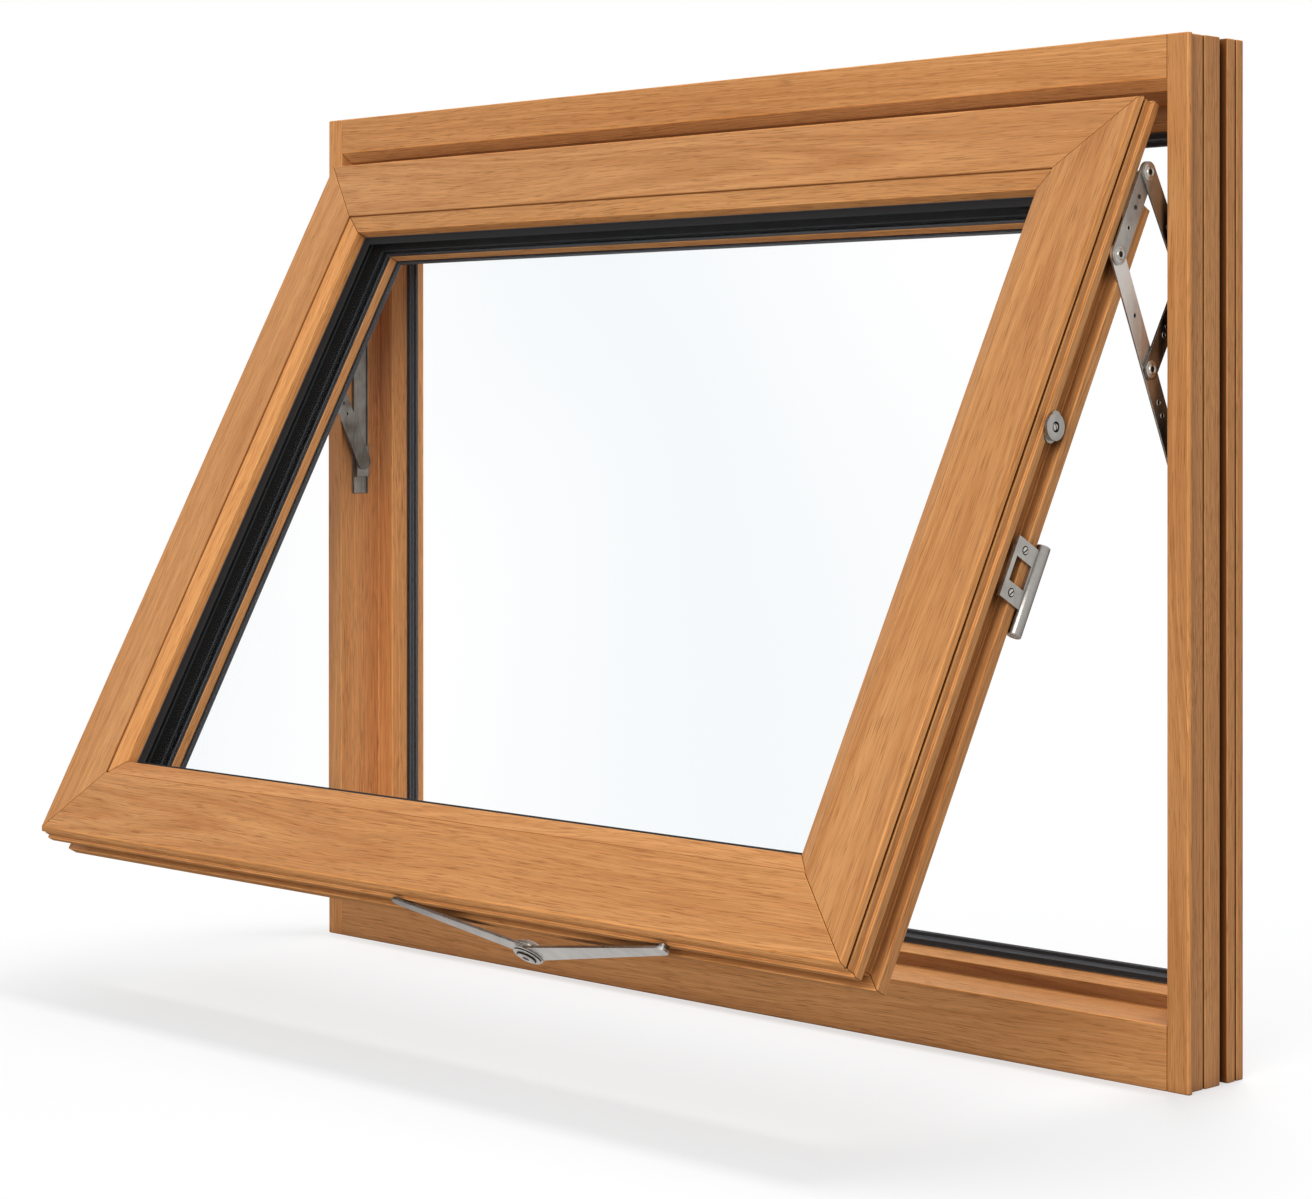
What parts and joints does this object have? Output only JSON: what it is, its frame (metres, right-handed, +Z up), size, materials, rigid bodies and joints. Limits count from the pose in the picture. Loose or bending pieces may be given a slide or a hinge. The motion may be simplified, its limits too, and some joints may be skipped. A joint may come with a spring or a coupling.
{
  "type": "top hung awning window",
  "caption": "Oak top hung awning window with a mitred double-glazed sash standing open on friction stays and a folding restrictor.",
  "frame": {"origin": "middle of the sill's underside, halfway through the frame's depth", "axes": "+X along the sill to the right seen from outdoors, +Y indoors, +Z up"},
  "size_m": [1.01, 0.4237, 0.784],
  "materials": {
    "oak": "satin lacquered golden oak",
    "black_rubber": "matte black",
    "spacer_bar": "matte black warm-edge spacer",
    "clear_glass": "clear polished",
    "stay_steel": "brushed stainless steel"
  },
  "bodies": {
    "root": {"frame_head": "oak", "frame_jamb_left": "oak", "frame_jamb_right": "oak", "frame_seal": "black_rubber", "frame_sill": "oak", "glass_inner_pane": "clear_glass", "glass_outer_pane": "clear_glass", "glass_spacer": "spacer_bar", "glazing_bead_bottom": "oak", "glazing_bead_left": "oak", "glazing_bead_right": "oak", "glazing_bead_top": "oak", "glazing_gasket_inner": "black_rubber", "glazing_gasket_outer": "black_rubber", "restrictor_left_arm": "stay_steel", "restrictor_left_foot": "stay_steel", "restrictor_right_arm": "stay_steel", "restrictor_right_foot": "stay_steel", "sash_catch_left": "stay_steel", "sash_catch_right": "stay_steel", "sash_rail_bottom": "oak", "sash_rail_top": "oak", "sash_roller_cam_left": "stay_steel", "sash_roller_cam_right": "stay_steel", "sash_stile_left": "oak", "sash_stile_right": "oak", "stay_arm_left": "stay_steel", "stay_arm_right": "stay_steel", "stay_lower_link_left": "stay_steel", "stay_lower_link_right": "stay_steel", "stay_sash_plate_left": "stay_steel", "stay_sash_plate_right": "stay_steel", "stay_slider_left": "stay_steel", "stay_slider_right": "stay_steel", "stay_track_left": "stay_steel", "stay_track_right": "stay_steel", "stay_upper_link_left": "stay_steel", "stay_upper_link_right": "stay_steel"}
  },
  "joints": []
}
